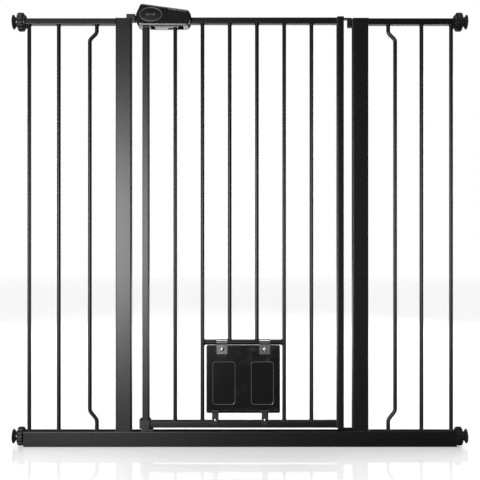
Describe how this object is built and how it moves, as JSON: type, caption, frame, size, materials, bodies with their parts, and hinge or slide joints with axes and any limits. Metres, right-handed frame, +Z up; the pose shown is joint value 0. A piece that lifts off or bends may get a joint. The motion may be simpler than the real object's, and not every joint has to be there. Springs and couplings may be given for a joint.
{
  "type": "pet gate",
  "caption": "Tall pressure-fit pet gate: steel bar frame with two side extensions, lift-and-swing door with a slide-lock handle, and a small swinging flap for a cat.",
  "frame": {"origin": "on the floor, midway between the outer faces of the left and right pads and in the middle plane of the tubes", "axes": "+X along the gate towards the hinge side, +Y towards the side away from the badge, +Z up"},
  "size_m": [1.11, 0.051, 1.0769],
  "materials": {
    "black_powder_coat": "satin",
    "zinc_steel": "zinc plated",
    "bright_steel": "bright",
    "black_plastic": "fine texture",
    "wheel_plastic": "fine texture",
    "gloss_handle_plastic": "gloss",
    "badge_plastic": "gloss with a grey rim",
    "nylon": "black",
    "pad_rubber": "matte"
  },
  "bodies": {
    "frame": {"floor_rail": "black_powder_coat", "left_post": "black_powder_coat", "right_post": "black_powder_coat", "left_top_stub": "black_powder_coat", "right_top_stub": "black_powder_coat", "post_caps": "black_plastic", "left_cranked_bar": "black_powder_coat", "right_cranked_bar": "black_powder_coat", "left_extension_top": "black_powder_coat", "right_extension_top": "black_powder_coat", "left_extension_rail": "black_powder_coat", "right_extension_rail": "black_powder_coat", "left_extension_bars": "black_powder_coat", "right_extension_bars": "black_powder_coat", "joining_sleeves": "zinc_steel", "spindle_bushes": "black_plastic", "upper_hinge_socket": "black_powder_coat", "lower_hinge_seat": "zinc_steel", "latch_keeper": "black_plastic", "frame_screws": "bright_steel", "door_seat": "black_plastic"},
    "hinge_bushes": {"hinge_bushes": "nylon"},
    "door": {"upper_hinge_arm": "black_powder_coat", "lower_hinge_arm": "black_powder_coat", "door_top_tube": "black_powder_coat", "door_bottom_tube": "black_powder_coat", "left_stile": "black_powder_coat", "right_stile": "black_powder_coat", "stile_cap": "black_plastic", "door_bars": "black_powder_coat", "short_bars": "black_powder_coat", "flap_rod": "black_powder_coat", "door_shoe": "black_plastic", "handle_upper_shell": "gloss_handle_plastic", "handle_lower_shell": "gloss_handle_plastic", "handle_screws": "bright_steel", "handle_badge": "badge_plastic", "detent_spring": "zinc_steel", "catch_lugs": "black_powder_coat", "catch_screws": "bright_steel"},
    "lock": {"lock_slide": "gloss_handle_plastic", "latch_bolt": "zinc_steel"},
    "flap": {"flap_panel": "black_plastic", "flap_clips": "bright_steel", "flap_clip_screws": "bright_steel"},
    "left_catch": {"left_flap_catch": "black_plastic"},
    "right_catch": {"right_flap_catch": "black_plastic"},
    "wheel_top_left": {"hand_wheel_top_left": "wheel_plastic"},
    "foot_top_left": {"spindle_top_left": "zinc_steel", "pad_top_left": "pad_rubber"},
    "wheel_top_right": {"hand_wheel_top_right": "wheel_plastic"},
    "foot_top_right": {"spindle_top_right": "zinc_steel", "pad_top_right": "pad_rubber"},
    "wheel_bottom_left": {"hand_wheel_bottom_left": "wheel_plastic"},
    "foot_bottom_left": {"spindle_bottom_left": "zinc_steel", "pad_bottom_left": "pad_rubber"},
    "wheel_bottom_right": {"hand_wheel_bottom_right": "wheel_plastic"},
    "foot_bottom_right": {"spindle_bottom_right": "zinc_steel", "pad_bottom_right": "pad_rubber"}
  },
  "joints": [
    {"name": "door_swing", "type": "hinge", "parent": "frame", "child": "hinge_bushes", "pos_m": [0.2685, 0, 0.5], "axis": [0, 0, 1], "range_deg": [-90, 90]},
    {"name": "door_lift", "type": "slide", "parent": "hinge_bushes", "child": "door", "axis": [0, 0, 1], "range_m": [0, 0.01]},
    {"name": "lock_slide", "type": "slide", "parent": "door", "child": "lock", "axis": [-1, 0, 0], "range_m": [0, 0.01]},
    {"name": "flap_swing", "type": "hinge", "parent": "door", "child": "flap", "pos_m": [0.008, 0, 0.254], "axis": [1, 0, 0], "range_deg": [0, 80]},
    {"name": "left_catch_turn", "type": "hinge", "parent": "door", "child": "left_catch", "pos_m": [-0.06, -0.0126, 0.066], "axis": [0, 1, 0], "range_deg": [-90, 90]},
    {"name": "right_catch_turn", "type": "hinge", "parent": "door", "child": "right_catch", "pos_m": [0.061, -0.0126, 0.066], "axis": [0, 1, 0], "range_deg": [-90, 90]},
    {"name": "wheel_turn_top_left", "type": "hinge", "parent": "frame", "child": "wheel_top_left", "pos_m": [-0.535, 0, 1.0375], "axis": [1, 0, 0], "range_deg": [0, 6000]},
    {"name": "spindle_reach_top_left", "type": "slide", "parent": "frame", "child": "foot_top_left", "axis": [-1, 0, 0], "range_m": [0, 0.025]},
    {"name": "wheel_turn_top_right", "type": "hinge", "parent": "frame", "child": "wheel_top_right", "pos_m": [0.535, 0, 1.0375], "axis": [-1, 0, 0], "range_deg": [0, 6000]},
    {"name": "spindle_reach_top_right", "type": "slide", "parent": "frame", "child": "foot_top_right", "axis": [1, 0, 0], "range_m": [0, 0.025]},
    {"name": "wheel_turn_bottom_left", "type": "hinge", "parent": "frame", "child": "wheel_bottom_left", "pos_m": [-0.535, 0, 0.024], "axis": [1, 0, 0], "range_deg": [0, 6000]},
    {"name": "spindle_reach_bottom_left", "type": "slide", "parent": "frame", "child": "foot_bottom_left", "axis": [-1, 0, 0], "range_m": [0, 0.025]},
    {"name": "wheel_turn_bottom_right", "type": "hinge", "parent": "frame", "child": "wheel_bottom_right", "pos_m": [0.535, 0, 0.024], "axis": [-1, 0, 0], "range_deg": [0, 6000]},
    {"name": "spindle_reach_bottom_right", "type": "slide", "parent": "frame", "child": "foot_bottom_right", "axis": [1, 0, 0], "range_m": [0, 0.025]}
  ],
  "couplings": [
    {"joint": "wheel_turn_top_left", "follows": "spindle_reach_top_left", "rad_per_m": 4188.8},
    {"joint": "wheel_turn_top_right", "follows": "spindle_reach_top_right", "rad_per_m": 4188.8},
    {"joint": "wheel_turn_bottom_left", "follows": "spindle_reach_bottom_left", "rad_per_m": 4188.8},
    {"joint": "wheel_turn_bottom_right", "follows": "spindle_reach_bottom_right", "rad_per_m": 4188.8}
  ]
}
